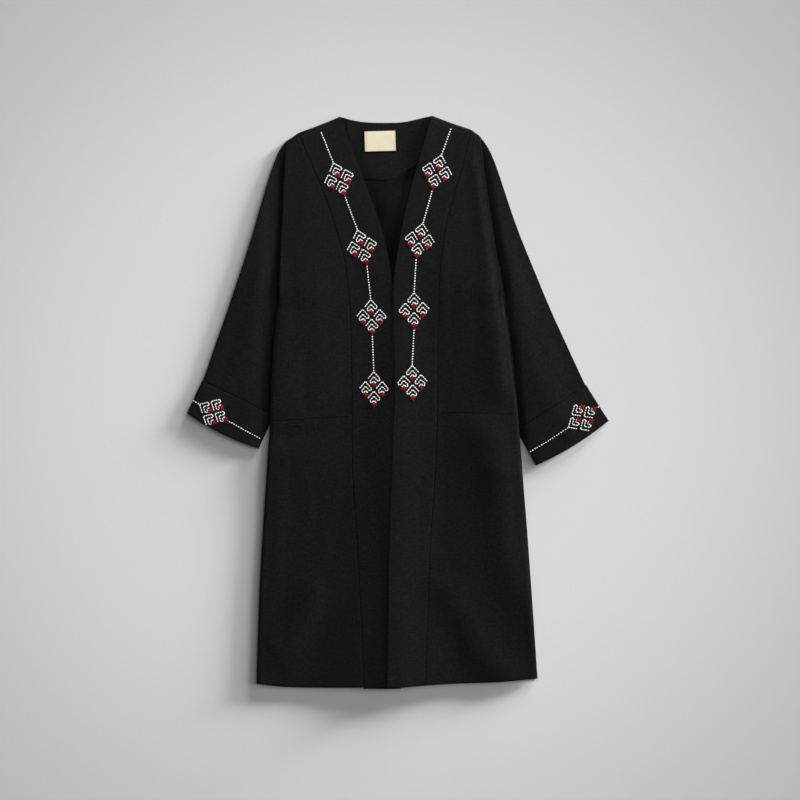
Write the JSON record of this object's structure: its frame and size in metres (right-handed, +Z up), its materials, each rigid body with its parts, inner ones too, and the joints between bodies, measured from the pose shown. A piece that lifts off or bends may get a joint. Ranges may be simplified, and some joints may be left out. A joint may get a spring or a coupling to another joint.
{
  "type": "manteau",
  "caption": "Open-front long manteau laid flat on its back, with wide sleeves, turned-back cuffs, princess seams and welt pockets.",
  "frame": {"origin": "middle of the garment's box, on the surface that it lies on", "axes": "+Z up from the surface, +Y towards the neck, +X towards the wearer's left sleeve"},
  "size_m": [0.84, 1.1398, 0.0193],
  "materials": {
    "cloth": "matt woven black wool blend",
    "label": "cream woven tape",
    "thread_white": "thick soft white embroidery thread",
    "thread_crimson": "thick soft crimson embroidery thread"
  },
  "bodies": {
    "root": {"back": "cloth", "front_side_left": "cloth", "front_side_right": "cloth", "front_band_left": "cloth", "front_band_right": "cloth", "pocket_welt_left": "cloth", "pocket_welt_right": "cloth", "sleeve_left": "cloth", "sleeve_right": "cloth", "cuff_left": "cloth", "cuff_right": "cloth", "back_neck_facing": "cloth", "neck_label": "label"}
  },
  "joints": []
}
